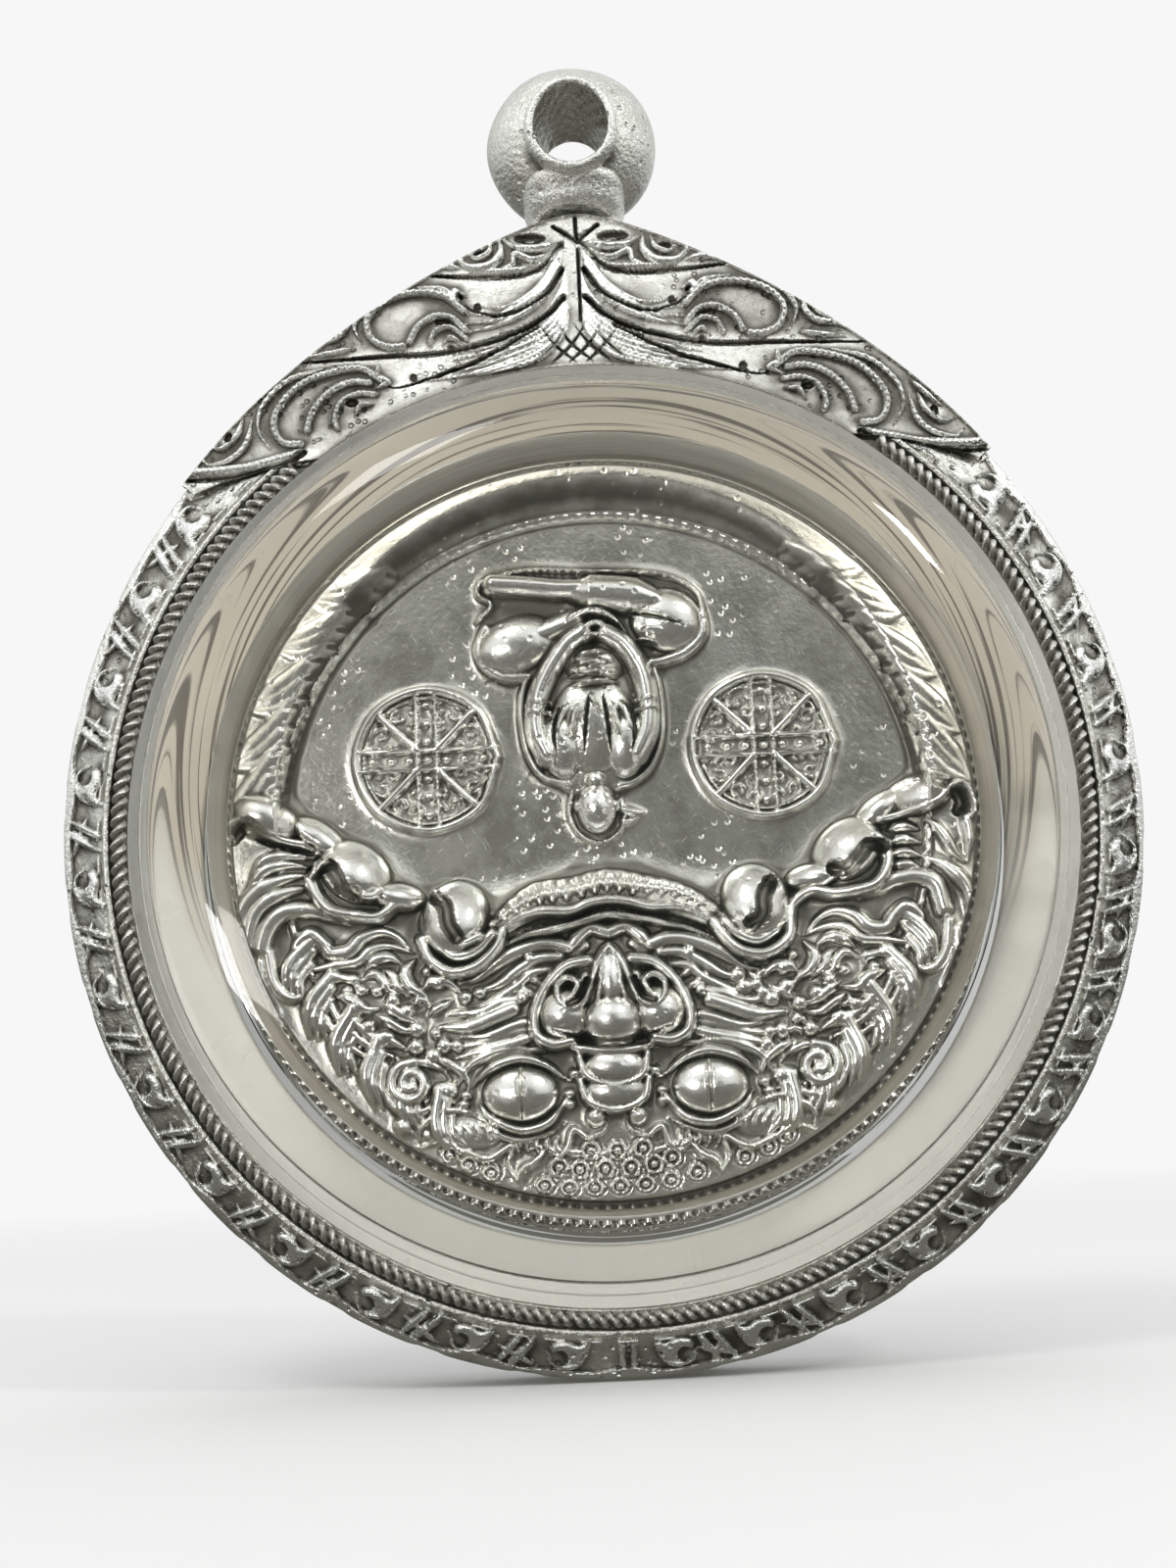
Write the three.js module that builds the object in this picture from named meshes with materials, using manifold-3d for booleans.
// Amulet pendant: a struck silver medal sealed in a clear acrylic case, held in an engraved silver frame
// with a leaf-shaped crest and a pierced ball for the chain.
// Millimetres, +Z up, front towards -Y. The origin is the centre of the hole in the bail ball.
import * as THREE from "three";
import { mergeVertices } from "three/addons/utils/BufferGeometryUtils.js";
import Module from "manifold-3d";

const wasm = await Module();
wasm.setup();
const { degToRad } = THREE.MathUtils;

// Medal, with its relief
const medalRadius = 17.1;
const medalRimWidth = 0.6;
const medalRimHeight = 1.4;
const medalField = 0.9;
const backField = 1.05;
const reliefHeight = 3.1;
const reliefRoom = 1.4;
const rimStep = 0.25;

// Acrylic case
const caseWidth = 3.56;
const flangeWidth = 1.3;
const flangeThickness = 1.5;
const sealThickness = 0.5;
const sealInset = 0.18;
const wallRise = 0.9;
const shoulderWidth = 0.98;
const shoulderRise = 0.5;
const domeWidth = 3.6;
const frontPlate = 1.2;
const backPlate = 3.2;
const backDomeWidth = 2.2;

// Frame outline, from the case to the edge of the ring, with the rise to its tip
const faceWidth = 3.05;
const tipRise = 4.43;
const tipSpread = degToRad(26);
const tipRound = degToRad(3);

// Frame halves
const lipThickness = 0.75;
const ridgeHeight = 0.4;
const ridgeWidth = 0.3;
const ridgeDraft = 0.06;
const bandDrop = 0.18;
const edgeBandHeight = 2.2;
const edgeBandThickness = 0.6;
const edgeThickness = 0.4;

// Crest plates and rope wires, soldered to the halves
const crestAngle = degToRad(48);
const crestHeelAngle = degToRad(35);
const crestSheet = 0.5;
const crestOverhang = 0.95;
const ropeDiameter = 0.7;
const ropeEndGap = degToRad(1.2);

// Bail: a pierced ball on a saddle foot
const ballHalfWidth = 4;
const ballHalfDepth = 2.9;
const ballHalfHeight = 3.9;
const holeHalfWidth = 1.7;
const holeHalfHeight = 1.92;
const tubeWall = 0.52;
const tubeProud = 0.12;
const ballRise = 0.95;
const footFlare = 3.2;
const footWaist = 2.2;
const footSkirt = 3;
const earHalfWidth = 2.45;
const earWall = 0.5;
const earRise = 1.9;

// Clearances: a soldered or pressed seam, and a case or medal that drops into its seat
const seam = 0.05;
const fit = 0.12;

// Smoothness
const ringSteps = 72;
const latheSteps = 56;
const medalSteps = 144;
const medalRings = 38;
const ropeSides = 6;
const domeSteps = 5;
const ballSteps = 24;

// Heights above the mid-plane of the case, and the radii that nest in each other
const seatRadius = medalRadius + fit;
const windowRadius = seatRadius + caseWidth;
const openingRadius = windowRadius + fit;
const frameRadius = openingRadius + faceWidth;
const sealHalf = sealThickness / 2;
const flangeTop = sealHalf + seam + flangeThickness;
const rebateHeight = flangeTop + fit;
const seatHeight = rebateHeight + lipThickness;
const edgeBandTop = edgeBandHeight / 2;
const edgeHeight = edgeBandTop + seam + edgeThickness;
const flangeRadius = windowRadius + flangeWidth;
const rebateRadius = flangeRadius + fit;
const ropeSeatRadius = openingRadius + ropeDiameter + 2 * seam;
const wallHeight = seatHeight + wallRise;
const shoulderHeight = wallHeight + shoulderRise;
const pocketCeiling = medalField + reliefHeight + reliefRoom;
const frontHeight = pocketCeiling + frontPlate;
const shoulderRadius = windowRadius - shoulderWidth;
const backFloor = medalRimHeight + seam;
const backHeight = backFloor + backPlate;
const frameTip = outlineRadius(0);
const crestTip = outlineRadius(0, crestOverhang);
const ringDrop = frameTip + ballRise + ballHalfHeight;
const footHalfDepth = slopeHeight(crestTip, 0);
const FRONT = -1;
const BACK = 1;

// A solid as a library object, and back, with its shared corners merged
function toSolid(geometry) {
  const bare = geometry.index ? geometry.toNonIndexed() : geometry.clone();
  for (const name of Object.keys(bare.attributes)) {
    if (name !== "position") bare.deleteAttribute(name);
  }
  const merged = mergeVertices(bare, 1e-4);
  return new wasm.Manifold(new wasm.Mesh({
    numProp: 3,
    vertProperties: merged.attributes.position.array,
    triVerts: new Uint32Array(merged.index.array),
  }));
}

function toGeometry(solid) {
  const mesh = solid.getMesh();
  const geometry = new THREE.BufferGeometry();
  geometry.setAttribute("position", new THREE.BufferAttribute(mesh.vertProperties.slice(), 3));
  geometry.setIndex(new THREE.BufferAttribute(mesh.triVerts.slice(), 1));
  return geometry;
}

// The volume inside a closed indexed mesh, negative where its faces point inwards
function signedVolume(positions, index) {
  const corner = (i) => new THREE.Vector3().fromArray(positions, 3 * index[i]);
  let volume = 0;
  for (let i = 0; i < index.length; i += 3) {
    volume += corner(i).dot(corner(i + 1).cross(corner(i + 2))) / 6;
  }
  return volume;
}

// Triangles that fill an outline, all running the same way round as the outline does
function fill(outline) {
  const isFlipped = THREE.ShapeUtils.isClockWise(outline);
  const faces = THREE.ShapeUtils.triangulateShape(outline.slice(), []);
  return faces.map(([a, b, c]) => (isFlipped ? [b, a, c] : [a, b, c]));
}

// A closed solid through rows of points that all have the same count. Rows that don't run round to their
// start are capped with the fill given for the end rows.
function loft(rows, isRing, capFaces = []) {
  const count = rows[0].length;
  const positions = rows.flat().flatMap((corner) => corner.toArray());
  const index = [];
  const spans = isRing ? rows.length : rows.length - 1;
  for (let i = 0; i < spans; i++) {
    const here = i * count;
    const next = ((i + 1) % rows.length) * count;
    for (let j = 0; j < count; j++) {
      const k = (j + 1) % count;
      index.push(here + j, here + k, next + k, here + j, next + k, next + j);
    }
  }
  const last = (rows.length - 1) * count;
  for (const [a, b, c] of capFaces) {
    index.push(b, a, c, last + a, last + b, last + c);
  }
  if (signedVolume(positions, index) < 0) index.reverse();
  const geometry = new THREE.BufferGeometry();
  geometry.setAttribute("position", new THREE.Float32BufferAttribute(positions, 3));
  geometry.setIndex(index);
  return geometry;
}

// The crest's ends slope inwards, from crestAngle at the frame's edge to crestHeelAngle at the opening.
// Every row of points leans with them: this is a row's angle at a radius, from its angle at the edge.
function leaned(angle, radius) {
  const share = Math.min(1, Math.max(0, (radius - openingRadius) / faceWidth));
  const end = crestHeelAngle + share * (crestAngle - crestHeelAngle);
  const turn = turnFromTop(angle);
  const below = Math.PI - ((Math.PI - turn) * (Math.PI - end)) / (Math.PI - crestAngle);
  const moved = turn <= crestAngle ? (turn * end) / crestAngle : below;
  return Math.sin(angle) < 0 ? angle - moved + turn : angle + moved - turn;
}

// A band round the ring: sectionAt gives its cross-section at an angle from the top, as radii and heights
function ringBand(angles, sectionAt, side, isRing) {
  const sections = angles.map(sectionAt);
  const rows = sections.map((section, i) => section.map(({ x: radius, y: height }) => {
    const angle = leaned(angles[i], radius);
    return new THREE.Vector3(radius * Math.sin(angle), side * height, radius * Math.cos(angle));
  }));
  const capFaces = isRing ? [] : fill(sections[0]);
  return loft(rows, isRing, capFaces);
}

// How far an angle lies from the top, either way round
function turnFromTop(angle) {
  return Math.abs(Math.atan2(Math.sin(angle), Math.cos(angle)));
}

// Radius of the outline at an angle from the top: a circle drawn out to a softly rounded tip
function outlineRadius(angle, overhang = 0) {
  const away = Math.hypot(turnFromTop(angle), tipRound) / tipSpread;
  return frameRadius + (tipRise + overhang) * Math.exp(-away);
}

// Angles from start to end, both included
function spread(start, end, steps) {
  return Array.from({ length: steps + 1 }, (_, i) => start + ((end - start) * i) / steps);
}

const point = (x, y) => new THREE.Vector2(x, y);
const crestSteps = Math.round(ringSteps * crestAngle / Math.PI);
const crestAngles = spread(-crestAngle, crestAngle, crestSteps);
const ropeStart = crestAngle + ropeEndGap;
const lowerAngles = spread(ropeStart, 2 * Math.PI - ropeStart, ringSteps - crestSteps);
const allAngles = [...crestAngles, ...lowerAngles];

// The radii where a frame half's face turns, from the opening to the outline
function faceRadii(angle) {
  const ridgeRadius = ropeSeatRadius + ridgeWidth;
  return [
    openingRadius,
    ropeSeatRadius,
    ropeSeatRadius + ridgeDraft,
    ridgeRadius,
    ridgeRadius + ridgeDraft,
    outlineRadius(angle),
  ];
}

// The plain slope that the crest plate lies on, from the opening's lip to the outline
function slopeHeight(radius, angle) {
  const share = (radius - openingRadius) / (outlineRadius(angle) - openingRadius);
  return seatHeight + share * (edgeHeight - seatHeight);
}

// Frame half: a lip round the window, a seat and a ridge for the rope wire, and a sloping band
function frameHalf(side) {
  const ridgeTop = seatHeight + ridgeHeight;
  const bandHeights = [seatHeight, seatHeight, ridgeTop, ridgeTop, ridgeTop - bandDrop, edgeHeight];
  return ringBand(allAngles, (angle) => {
    const underCrest = turnFromTop(angle) < crestAngle + ropeEndGap / 2;
    const face = faceRadii(angle).map((radius, i) => (
      point(radius, underCrest ? slopeHeight(radius, angle) : bandHeights[i])));
    return [
      ...face,
      point(outlineRadius(angle), edgeBandTop + seam),
      point(rebateRadius, edgeBandTop + seam),
      point(rebateRadius, rebateHeight),
      point(openingRadius, rebateHeight),
    ];
  }, side, true);
}

// Strip that closes the edge between the two halves
function edgeBand() {
  return ringBand(allAngles, (angle) => {
    const outer = outlineRadius(angle);
    const inner = outer - edgeBandThickness;
    return [
      point(inner, -edgeBandTop),
      point(inner, edgeBandTop),
      point(outer, edgeBandTop),
      point(outer, -edgeBandTop),
    ];
  }, FRONT, true);
}

// Leaf-shaped plate over the top of a frame half, standing out past its edge
function crestPlate(side) {
  return ringBand(crestAngles, (angle) => {
    const radii = [...faceRadii(angle), outlineRadius(angle, crestOverhang)];
    const under = radii.map((radius) => point(radius, slopeHeight(radius, angle) + seam));
    const over = under.map(({ x: radius, y: height }) => point(radius, height + crestSheet));
    return [...under, ...over.reverse()];
  }, side, false);
}

// Rope wire in its seat, from one end of the crest round to the other
function ropeWire(side) {
  const radius = ropeDiameter / 2;
  const middle = point(openingRadius + seam + radius, seatHeight + seam + radius);
  const section = spread(0, 2 * Math.PI, ropeSides).slice(0, -1).map((turn) => (
    point(middle.x + radius * Math.cos(turn), middle.y + radius * Math.sin(turn))));
  return ringBand(lowerAngles, () => section, side, false);
}

// A turned piece: its profile is radii and heights from the mid-plane, from the axis back to the axis
function turned(profile, side, steps = latheSteps) {
  const points = profile.map(([radius, height]) => point(radius, side * height));
  const geometry = new THREE.LatheGeometry(points, steps);
  const index = geometry.index.array;
  if (signedVolume(geometry.attributes.position.array, index) < 0) index.reverse();
  return geometry;
}

// Quarter-round swell from the case's shoulder to its flat face
function dome(faceRadius, faceHeight) {
  return spread(0, Math.PI / 2, domeSteps).map((turn) => [
    faceRadius + (shoulderRadius - faceRadius) * Math.cos(turn),
    shoulderHeight + (faceHeight - shoulderHeight) * Math.sin(turn),
  ]);
}

function caseWall() {
  return [
    [seatRadius, sealHalf + seam],
    [flangeRadius, sealHalf + seam],
    [flangeRadius, flangeTop],
    [windowRadius, flangeTop],
    [windowRadius, wallHeight],
  ];
}

// Front window: a clear shell whose step holds the medal's rim, with room over the relief
function frontWindow() {
  const pocketRadius = medalRadius - rimStep;
  return turned([
    [0, pocketCeiling],
    [pocketRadius, pocketCeiling],
    [pocketRadius, medalRimHeight + seam],
    [seatRadius, medalRimHeight + seam],
    ...caseWall(),
    ...dome(shoulderRadius - domeWidth, frontHeight),
    [0, frontHeight],
  ], FRONT);
}

// Back window: its floor carries the medal
function backWindow() {
  return turned([
    [0, backFloor],
    [seatRadius, backFloor],
    ...caseWall(),
    ...dome(shoulderRadius - backDomeWidth, backHeight),
    [0, backHeight],
  ], BACK);
}

// Bead of cloudy sealant between the two shells
function sealRing() {
  const inner = seatRadius + sealInset;
  return ringBand(spread(0, 2 * Math.PI, ringSteps).slice(0, -1), () => [
    point(inner, -sealHalf),
    point(inner, sealHalf),
    point(flangeRadius, sealHalf),
    point(flangeRadius, -sealHalf),
  ], FRONT, true);
}

// Main forms of the relief, placed from the medal's centre. Every value is a share of the medal's radius,
// and wide and high are half sizes.
// The head hangs upside down below the moon disc that it bites, so its crown is at the bottom.
const moonRadius = 0.842;
const moonRim = { width: 0.023, rise: 0.018 };
const crescent = { rise: 0.07, shift: 0.105, radius: 0.842 };
const mounds = [
  { name: "head", x: 0, z: -0.655, wide: 0.789, high: 0.526, rise: 0.079 },
  { name: "wrist", x: 0.696, z: -0.199, wide: 0.199, high: 0.17, rise: 0.058, isPair: true },
  { name: "forearm", x: 0.877, z: -0.07, wide: 0.099, high: 0.193, rise: 0.07, isPair: true },
  { name: "beard", x: 0.608, z: -0.427, wide: 0.211, high: 0.199, rise: 0.07, isPair: true },
];
const domes = [
  { name: "nose", x: 0, z: -0.48, wide: 0.14, high: 0.111, rise: 0.076 },
  { name: "nose ridge", x: 0, z: -0.409, wide: 0.064, high: 0.123, rise: 0.096 },
  { name: "nostril", x: 0.129, z: -0.474, wide: 0.076, high: 0.088, rise: 0.073, isPair: true },
  { name: "upper nose bridge", x: 0, z: -0.62, wide: 0.085, high: 0.053, rise: 0.056 },
  { name: "lower nose bridge", x: 0, z: -0.684, wide: 0.082, high: 0.05, rise: 0.047 },
  { name: "eye", x: 0.241, z: -0.678, wide: 0.102, high: 0.082, rise: 0.061, isPair: true },
  { name: "curl beside the eye", x: 0.518, z: -0.64, wide: 0.07, high: 0.07, rise: 0.029, isPair: true },
  { name: "brow", x: 0.392, z: -0.766, wide: 0.123, high: 0.056, rise: 0.02, isPair: true },
  { name: "cheek", x: 0.404, z: -0.433, wide: 0.211, high: 0.152, rise: 0.018, isPair: true },
  { name: "left first finger", x: -0.395, z: -0.225, wide: 0.094, high: 0.111, rise: 0.099, turn: -20 },
  { name: "left first link", x: -0.538, z: -0.161, wide: 0.076, high: 0.044, rise: 0.07, turn: -10 },
  { name: "left second finger", x: -0.649, z: -0.088, wide: 0.108, high: 0.079, rise: 0.088, turn: -38 },
  { name: "left second link", x: -0.737, z: 0.006, wide: 0.088, high: 0.044, rise: 0.067, turn: -38 },
  { name: "left third finger", x: -0.871, z: 0.056, wide: 0.094, high: 0.061, rise: 0.07, turn: -25 },
  { name: "right first finger", x: 0.386, z: -0.216, wide: 0.094, high: 0.108, rise: 0.096, turn: 20 },
  { name: "right first link", x: 0.532, z: -0.158, wide: 0.076, high: 0.044, rise: 0.067, turn: 8 },
  { name: "right second finger", x: 0.629, z: -0.088, wide: 0.105, high: 0.079, rise: 0.085, turn: 38 },
  { name: "right second link", x: 0.719, z: 0.015, wide: 0.082, high: 0.041, rise: 0.061, turn: 35 },
  { name: "right third finger", x: 0.819, z: 0.044, wide: 0.094, high: 0.058, rise: 0.067, turn: 15 },
  { name: "robe", x: 0, z: 0.316, wide: 0.111, high: 0.187, rise: 0.047 },
  { name: "seated head", x: -0.015, z: 0.056, wide: 0.058, high: 0.076, rise: 0.056 },
  { name: "neck", x: -0.015, z: 0.126, wide: 0.041, high: 0.041, rise: 0.047 },
];
const ridges = [
  { name: "lip", wide: 0.039, rise: 0.102,
    points: [[-0.327, -0.269], [-0.234, -0.202], [-0.129, -0.171], [0, -0.152],
      [0.129, -0.171], [0.234, -0.205], [0.327, -0.275]] },
  { name: "lip fold", wide: 0.02, rise: 0.099,
    points: [[-0.304, -0.287], [-0.211, -0.225], [-0.094, -0.219], [0, -0.199],
      [0.094, -0.216], [0.211, -0.231], [0.304, -0.292]] },
  { name: "upper whisker", wide: 0.02, rise: 0.029, isPair: true,
    points: [[0.023, -0.269], [0.105, -0.313], [0.205, -0.304], [0.275, -0.333], [0.374, -0.392]] },
  { name: "middle whisker", wide: 0.018, rise: 0.023, isPair: true,
    points: [[0.135, -0.339], [0.228, -0.363], [0.351, -0.421]] },
  { name: "lower whisker", wide: 0.02, rise: 0.026, isPair: true,
    points: [[0.246, -0.462], [0.368, -0.503], [0.45, -0.5]] },
  { name: "lowest whisker", wide: 0.018, rise: 0.023, isPair: true,
    points: [[0.199, -0.532], [0.322, -0.561], [0.421, -0.591]] },
  { name: "nostril wing", wide: 0.019, rise: 0.07, isPair: true,
    points: [[0.058, -0.357], [0.161, -0.409], [0.19, -0.48], [0.181, -0.538], [0.105, -0.561]] },
  { name: "upper eyelid", wide: 0.015, rise: 0.047, isPair: true,
    points: [[0.363, -0.655], [0.292, -0.602], [0.211, -0.596], [0.111, -0.649]] },
  { name: "lower eyelid", wide: 0.015, rise: 0.044, isPair: true,
    points: [[0.348, -0.696], [0.246, -0.766], [0.152, -0.737], [0.111, -0.673]] },
  { name: "upper hair", wide: 0.021, rise: 0.035, isPair: true,
    points: [[0.784, -0.31], [0.766, -0.251], [0.713, -0.298], [0.632, -0.263],
      [0.544, -0.263], [0.509, -0.304]] },
  { name: "inner hair", wide: 0.019, rise: 0.029, isPair: true,
    points: [[0.626, -0.345], [0.561, -0.316], [0.509, -0.386], [0.462, -0.439]] },
  { name: "beard line", wide: 0.023, rise: 0.026, isPair: true,
    points: [[0.743, -0.345], [0.731, -0.427], [0.684, -0.509], [0.596, -0.573], [0.515, -0.596]] },
  { name: "beard curl", wide: 0.02, rise: 0.029, isPair: true,
    points: [[0.702, -0.409], [0.626, -0.444], [0.55, -0.456], [0.491, -0.491]] },
  { name: "upper arm fold", wide: 0.023, rise: 0.032, isPair: true,
    points: [[0.936, -0.257], [0.901, -0.164], [0.819, -0.111], [0.766, -0.105]] },
  { name: "lower arm fold", wide: 0.025, rise: 0.035, isPair: true,
    points: [[0.877, -0.269], [0.83, -0.193], [0.754, -0.181], [0.655, -0.228]] },
  { name: "finger palm", wide: 0.018, rise: 0.061, isPair: true,
    points: [[0.737, -0.111], [0.696, -0.187], [0.585, -0.208], [0.491, -0.211], [0.474, -0.281],
      [0.404, -0.357], [0.327, -0.345], [0.275, -0.269]] },
  { name: "upper flame", wide: 0.025, rise: 0.029, isPair: true,
    points: [[0.807, -0.351], [0.825, -0.409], [0.801, -0.485]] },
  { name: "middle flame", wide: 0.025, rise: 0.029, isPair: true,
    points: [[0.743, -0.48], [0.754, -0.538], [0.719, -0.608]] },
  { name: "lower flame", wide: 0.025, rise: 0.029, isPair: true,
    points: [[0.643, -0.585], [0.667, -0.643], [0.62, -0.719]] },
  { name: "thigh bar", wide: 0.035, rise: 0.061,
    points: [[-0.251, 0.658], [-0.088, 0.629], [0.094, 0.635], [0.199, 0.632], [0.275, 0.561]] },
  { name: "left thigh", wide: 0.047, rise: 0.058,
    points: [[-0.111, 0.547], [-0.199, 0.544], [-0.257, 0.48]] },
  { name: "left knee", wide: 0.021, rise: 0.041,
    points: [[-0.269, 0.538], [-0.298, 0.48], [-0.263, 0.424], [-0.175, 0.409]] },
  { name: "right knee", wide: 0.021, rise: 0.044,
    points: [[0.281, 0.556], [0.269, 0.485], [0.146, 0.433]] },
  { name: "foot", wide: 0.025, rise: 0.05, points: [[0.111, 0.52], [0.175, 0.523], [0.246, 0.52]] },
  { name: "left arm", wide: 0.023, rise: 0.064,
    points: [[-0.111, 0.175], [-0.14, 0.304], [-0.111, 0.421], [-0.018, 0.526]] },
  { name: "right arm", wide: 0.023, rise: 0.064,
    points: [[0.094, 0.175], [0.123, 0.304], [0.105, 0.415], [0.023, 0.52]] },
  { name: "first leaf", wide: 0.023, rise: 0.018, isPair: true,
    points: [[0.62, 0.725], [0.696, 0.684], [0.737, 0.637]] },
  { name: "second leaf", wide: 0.023, rise: 0.018, isPair: true,
    points: [[0.725, 0.608], [0.795, 0.561], [0.825, 0.509]] },
  { name: "third leaf", wide: 0.025, rise: 0.019, isPair: true,
    points: [[0.801, 0.474], [0.871, 0.409], [0.901, 0.345]] },
  { name: "fourth leaf", wide: 0.025, rise: 0.019, isPair: true,
    points: [[0.842, 0.327], [0.918, 0.257], [0.942, 0.199]] },
  { name: "fifth leaf", wide: 0.025, rise: 0.02, isPair: true,
    points: [[0.86, 0.199], [0.93, 0.14], [0.959, 0.082]] },
];
const spokes = [
  { name: "wheel's upright bar", wide: 0.029, rise: 0.015, points: [[0, -0.181], [0, 0.181]] },
  { name: "wheel's level bar", wide: 0.029, rise: 0.015, points: [[-0.181, 0], [0.181, 0]] },
  { name: "wheel's rising spoke", wide: 0.016, rise: 0.014, points: [[-0.123, -0.123], [0.123, 0.123]] },
  { name: "wheel's falling spoke", wide: 0.016, rise: 0.014, points: [[-0.123, 0.123], [0.123, -0.123]] },
];
const wheel = { x: 0.442, z: 0.202, radius: 0.187, halfWidth: 0.018, rise: 0.022 };

// A low round swelling over the form's oval, which leans to the left by its turn in degrees
function swell(x, z, { x: middleX, z: middleZ, wide, high, rise, turn = 0 }) {
  const angle = degToRad(turn);
  const east = x - middleX;
  const north = z - middleZ;
  const along = (east * Math.cos(angle) + north * Math.sin(angle)) / wide;
  const aside = (north * Math.cos(angle) - east * Math.sin(angle)) / high;
  return rise * Math.sqrt(Math.max(0, 1 - along ** 2 - aside ** 2));
}

// A rounded ridge along the line through a form's points
function ridge(x, z, { points, wide, rise }) {
  let nearest = Infinity;
  for (let i = 1; i < points.length; i++) {
    const [startX, startZ] = points[i - 1];
    const spanX = points[i][0] - startX;
    const spanZ = points[i][1] - startZ;
    const share = ((x - startX) * spanX + (z - startZ) * spanZ) / (spanX ** 2 + spanZ ** 2);
    const held = Math.min(1, Math.max(0, share));
    nearest = Math.min(nearest, Math.hypot(x - startX - held * spanX, z - startZ - held * spanZ));
  }
  return rise * Math.sqrt(Math.max(0, 1 - (nearest / wide) ** 2));
}

// The highest of a list of forms at a point, where a pair has a twin on the other side
function highest(x, z, forms, heightOf) {
  return Math.max(0, ...forms.map((form) => (
    form.isPair ? Math.max(heightOf(x, z, form), heightOf(-x, z, form)) : heightOf(x, z, form))));
}

// Moon disc with its rim, and the crescent-shaped slope round it that climbs to a crest
function moonRelief(x, z) {
  const radius = Math.hypot(x, z);
  const toRim = Math.abs(radius - moonRadius) / moonRim.width;
  const rim = Math.max(0, moonRim.rise * (1 - toRim ** 2));
  if (radius < moonRadius) return rim;
  const climbed = radius - moonRadius;
  const left = Math.max(0, crescent.radius - Math.hypot(x, z - crescent.shift));
  const share = climbed / (climbed + left + 1e-6);
  return Math.max(rim, crescent.rise * Math.sin((Math.PI / 2) * share));
}

// The two spoked wheels beside the seated figure
function wheelRelief(x, z) {
  const east = Math.abs(x) - wheel.x;
  const north = z - wheel.z;
  const toRim = (Math.hypot(east, north) - wheel.radius) / wheel.halfWidth;
  const rim = wheel.rise * Math.sqrt(Math.max(0, 1 - toRim ** 2));
  return Math.max(rim, highest(east, north, spokes, ridge));
}

// Height of the relief over the medal's field at a point, all as shares of the medal's radius
function relief(x, z) {
  const ground = Math.max(moonRelief(x, z), highest(x, z, mounds, swell));
  return ground + Math.max(highest(x, z, domes, swell), highest(x, z, ridges, ridge), wheelRelief(x, z));
}

// Medal: a disc with a raised rim on both faces and the relief on its front
function medal() {
  const fieldRadius = medalRadius - medalRimWidth;
  const reliefRadius = fieldRadius - fit;
  const front = spread(0, reliefRadius, medalRings).map((radius) => [radius, medalField]);
  const geometry = turned([
    ...front,
    [fieldRadius, medalField],
    [fieldRadius + fit, medalRimHeight],
    [medalRadius, medalRimHeight],
    [medalRadius, -medalRimHeight],
    [fieldRadius, -medalRimHeight],
    [fieldRadius - fit, -backField],
    [0, -backField],
  ], FRONT, medalSteps);
  const position = geometry.attributes.position;
  for (let i = 0; i < position.count; i++) {
    const x = position.getX(i);
    const z = position.getZ(i);
    const isField = Math.abs(position.getY(i) - FRONT * medalField) < 1e-6;
    if (isField && Math.hypot(x, z) < reliefRadius - fit) {
      const height = medalRadius * relief(x / medalRadius, z / medalRadius);
      position.setY(i, FRONT * (medalField + Math.min(reliefHeight, height)));
    }
  }
  return geometry;
}

function ellipsoid(halfWidth, halfDepth, halfHeight) {
  const geometry = new THREE.SphereGeometry(1, ballSteps, ballSteps / 2);
  geometry.rotateX(Math.PI / 2);
  return geometry.scale(halfWidth, halfDepth, halfHeight);
}

// Upright oval rod through the ball from front to back
function ovalRod(halfWidth, halfHeight, halfLength) {
  const rod = new THREE.CylinderGeometry(1, 1, 2, ballSteps);
  return rod.scale(halfWidth, halfLength, halfHeight);
}

const tubeHalfWidth = holeHalfWidth + tubeWall;
const tubeHalfHeight = holeHalfHeight + tubeWall;

function bailBall() {
  const rod = ovalRod(tubeHalfWidth + seam, tubeHalfHeight + seam, 2 * ballHalfDepth);
  return toGeometry(toSolid(ellipsoid(ballHalfWidth, ballHalfDepth, ballHalfHeight)).subtract(toSolid(rod)));
}

// Oval liner of the hole, standing a little proud of the ball at both ends
function bailTube() {
  const halfLength = ballHalfDepth + tubeProud;
  const outer = toSolid(ovalRod(tubeHalfWidth, tubeHalfHeight, halfLength));
  return toGeometry(outer.subtract(toSolid(ovalRod(holeHalfWidth, holeHalfHeight, 2 * halfLength))));
}

// Frame outline as a plate, grown by a margin, to cut the foot's saddle
function outlinePlate(margin, halfDepth) {
  const rows = [-halfDepth, halfDepth].map((y) => allAngles.map((angle) => {
    const radius = outlineRadius(angle) + margin;
    return new THREE.Vector3(radius * Math.sin(angle), y, radius * Math.cos(angle) - ringDrop);
  }));
  const flat = rows[0].map((corner) => point(corner.x, corner.z));
  return loft(rows, false, fill(flat));
}

// Half depth of the ball at a height from its centre
function ballDepthAt(height) {
  return ballHalfDepth * Math.sqrt(1 - (height / ballHalfHeight) ** 2);
}

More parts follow.
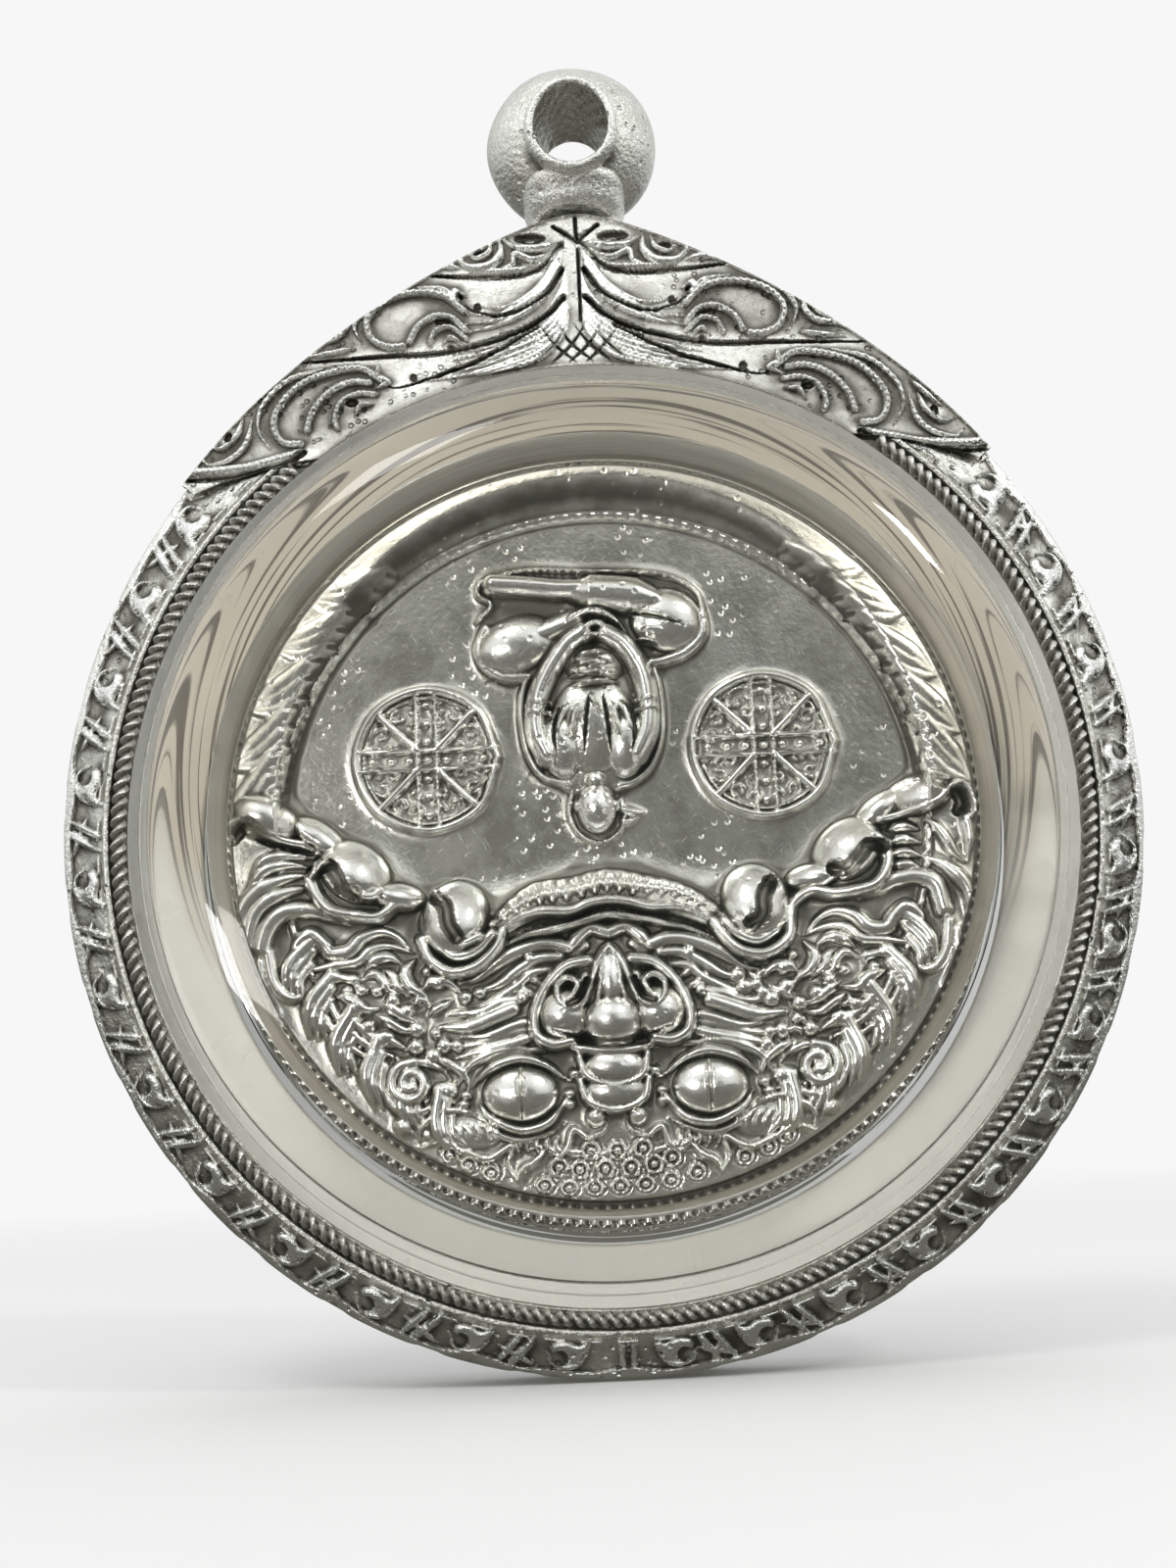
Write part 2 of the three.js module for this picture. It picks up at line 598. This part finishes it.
// Saddle foot: two ears that cup the ball, a waist, and a skirt cut to sit on the crest
function bailFoot() {
  const ballBottom = -ballHalfHeight;
  const earMiddle = (ballHalfHeight + earRise) / 2;
  const levels = [
    { z: -earRise, halfWidth: earHalfWidth, halfDepth: ballDepthAt(earRise) + earWall },
    { z: -earMiddle, halfWidth: earHalfWidth, halfDepth: ballDepthAt(earMiddle) + earWall },
    { z: ballBottom + 0.2, halfWidth: footWaist, halfDepth: footHalfDepth },
    { z: ballBottom - ballRise, halfWidth: (footWaist + footFlare) / 2, halfDepth: footHalfDepth },
    { z: ballBottom - footSkirt, halfWidth: footFlare, halfDepth: footHalfDepth },
  ];
  const rows = levels.map(({ z, halfWidth, halfDepth }) => spread(0, 2 * Math.PI, ballSteps).slice(0, -1)
    .map((turn) => new THREE.Vector3(halfWidth * Math.cos(turn), halfDepth * Math.sin(turn), z)));
  const flat = rows[0].map((corner) => point(corner.x, corner.y));
  const body = toSolid(loft(rows, false, fill(flat)));
  const ball = toSolid(ellipsoid(ballHalfWidth + seam, ballHalfDepth + seam, ballHalfHeight + seam));
  const rod = toSolid(ovalRod(tubeHalfWidth + seam, tubeHalfHeight + seam, 2 * ballHalfDepth));
  const plate = toSolid(outlinePlate(seam, 2 * footHalfDepth));
  return toGeometry(body.subtract(ball).subtract(rod).subtract(plate));
}

const silver = { color: 0xc9c8c2, roughness: 0.28, metalness: 1 };
const brightSilver = { color: 0xd6d4cc, roughness: 0.18, metalness: 1 };
const acrylic = { color: 0xe9ece6, roughness: 0.05, metalness: 0, transparent: true, opacity: 0.3 };
const sealant = { color: 0xd8d8d0, roughness: 0.5, metalness: 0 };

function mesh(name, geometry, finish) {
  const made = new THREE.Mesh(geometry, new THREE.MeshStandardMaterial(finish));
  made.name = name;
  return made;
}

const ring = new THREE.Group();
ring.position.z = -ringDrop;
ring.add(
  mesh("front_frame", frameHalf(FRONT), silver),
  mesh("back_frame", frameHalf(BACK), silver),
  mesh("edge_band", edgeBand(), silver),
  mesh("front_crest", crestPlate(FRONT), silver),
  mesh("back_crest", crestPlate(BACK), silver),
  mesh("front_rope_wire", ropeWire(FRONT), brightSilver),
  mesh("back_rope_wire", ropeWire(BACK), brightSilver),
  mesh("front_window", frontWindow(), acrylic),
  mesh("back_window", backWindow(), acrylic),
  mesh("seal_ring", sealRing(), sealant),
  mesh("medal", medal(), brightSilver),
);

const bail = new THREE.Group();
bail.add(
  mesh("bail_ball", bailBall(), brightSilver),
  mesh("bail_tube", bailTube(), brightSilver),
  mesh("bail_foot", bailFoot(), brightSilver),
);

const pendant = new THREE.Group();
pendant.add(ring, bail);
export default pendant;
